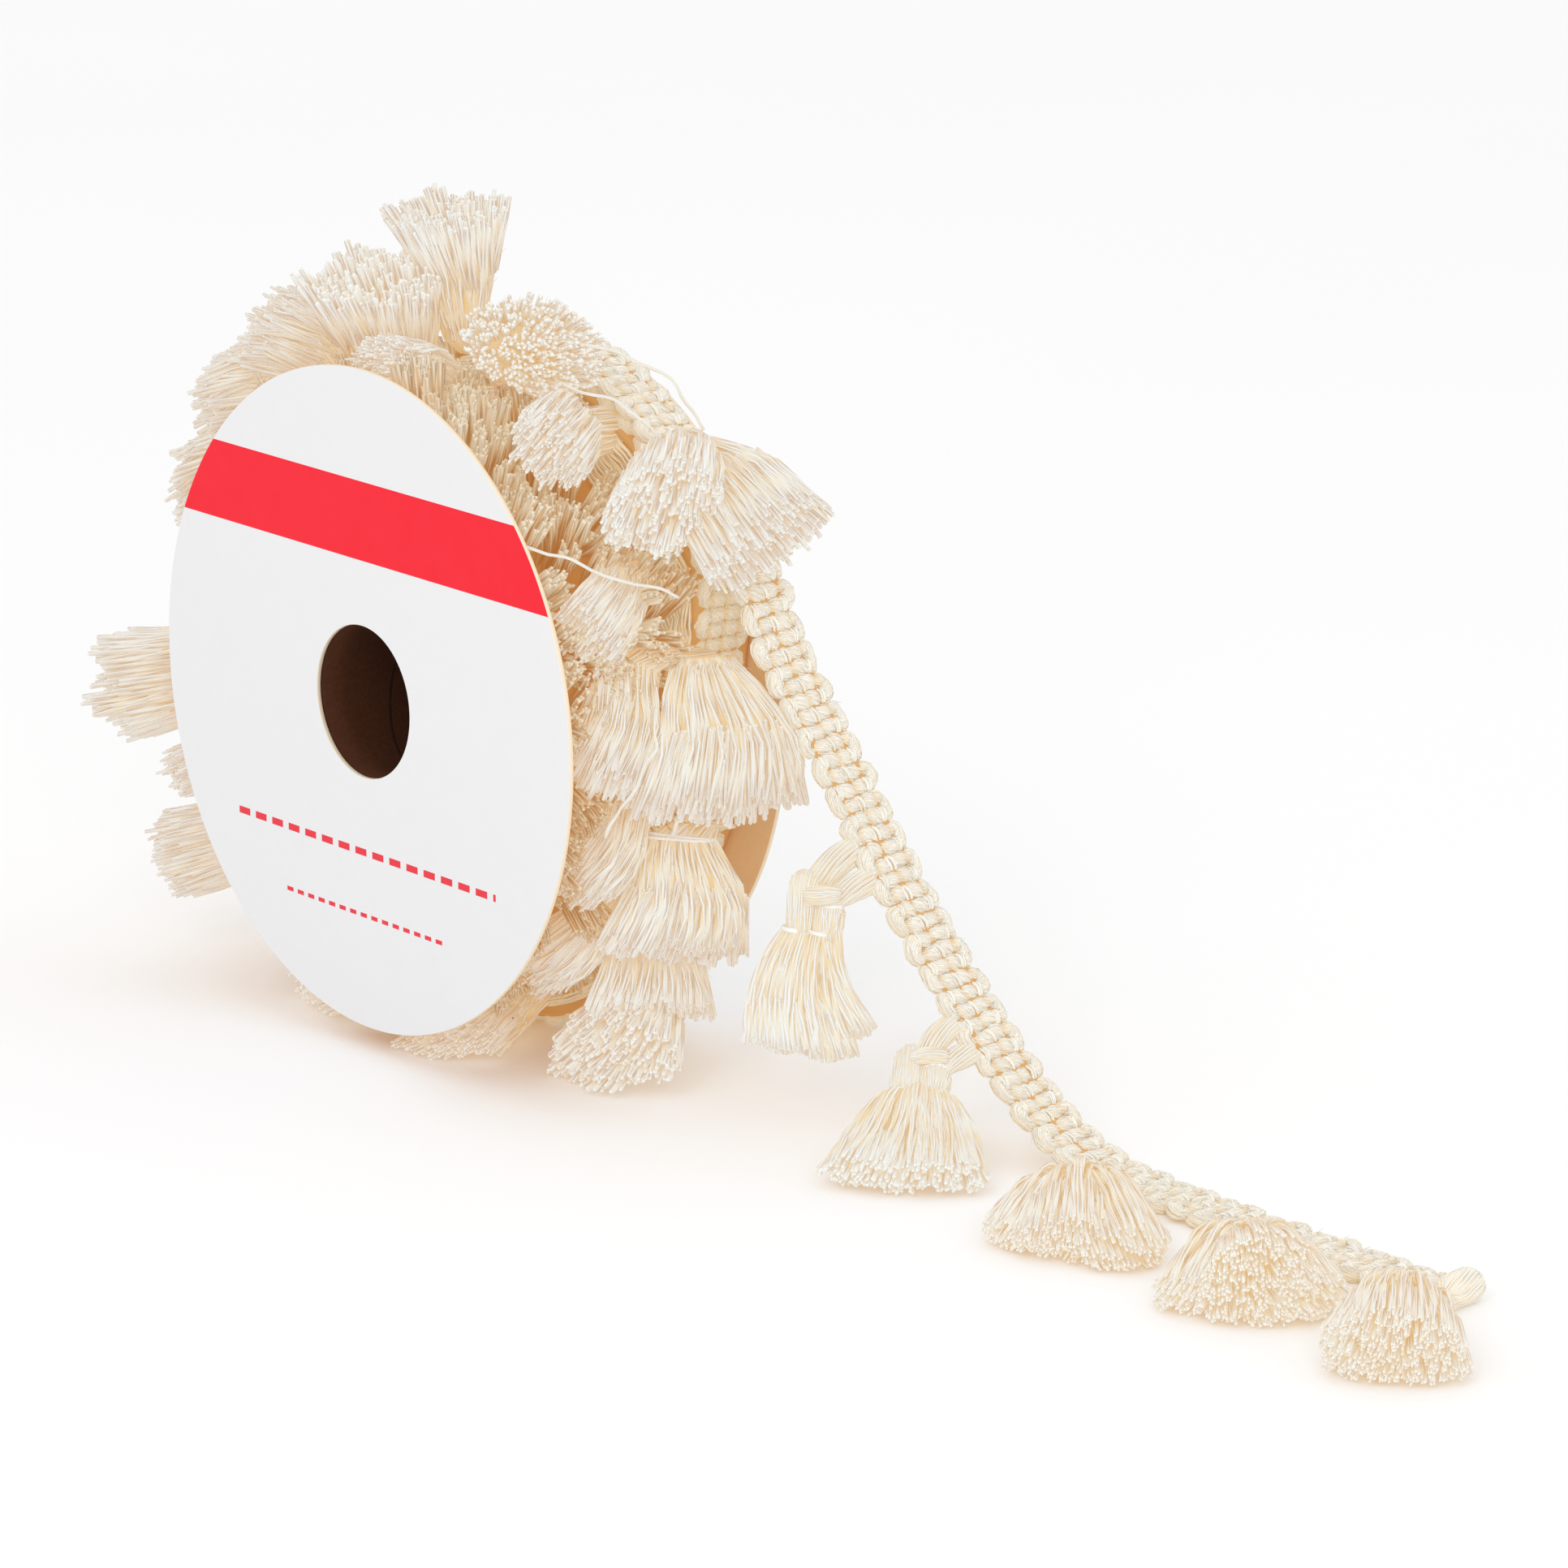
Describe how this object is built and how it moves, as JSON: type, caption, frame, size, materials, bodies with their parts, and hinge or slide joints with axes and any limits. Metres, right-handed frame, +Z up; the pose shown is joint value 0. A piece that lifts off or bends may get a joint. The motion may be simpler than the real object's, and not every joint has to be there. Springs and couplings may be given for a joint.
{
  "type": "tassel fringe trim wound on its card reel",
  "caption": "Cotton tassel fringe trim wound on a flanged card reel, its loose end and last tassels laid out on the table.",
  "frame": {"origin": "middle of the footprint's box, on the table", "axes": "+Z up, +X from the reel towards the loose end, +Y along the reel's axis towards its plain back disc"},
  "size_m": [0.4714, 0.0818, 0.206],
  "materials": {
    "cotton": "soft spun cotton yarn, fuzzy cut ends",
    "card_white": "smooth white card with a plain red band, kraft inside",
    "card_kraft": "plain brown card tube"
  },
  "bodies": {
    "root": {"flange_front": "card_white", "flange_back": "card_white", "core_tube": "card_kraft", "wound_trim": "cotton", "braid_loose_end": "cotton", "tassel_reel_a": "cotton", "tassel_reel_b": "cotton", "tassel_reel_c": "cotton", "tassel_reel_d": "cotton", "tassel_reel_e": "cotton", "tassel_reel_f": "cotton", "tassel_reel_g": "cotton", "tassel_reel_h": "cotton", "tassel_reel_k": "cotton", "tassel_reel_l": "cotton", "tassel_reel_m": "cotton", "tassel_reel_n": "cotton", "tassel_reel_o": "cotton", "tassel_reel_p": "cotton", "tassel_reel_q": "cotton", "tassel_reel_r": "cotton", "tassel_reel_s": "cotton", "tassel_reel_t": "cotton", "tassel_reel_u": "cotton", "tassel_reel_v": "cotton", "tassel_reel_w": "cotton", "tassel_loose_1": "cotton", "tassel_loose_2": "cotton", "tassel_loose_3": "cotton", "tassel_loose_4": "cotton", "tassel_loose_5": "cotton"}
  },
  "joints": []
}
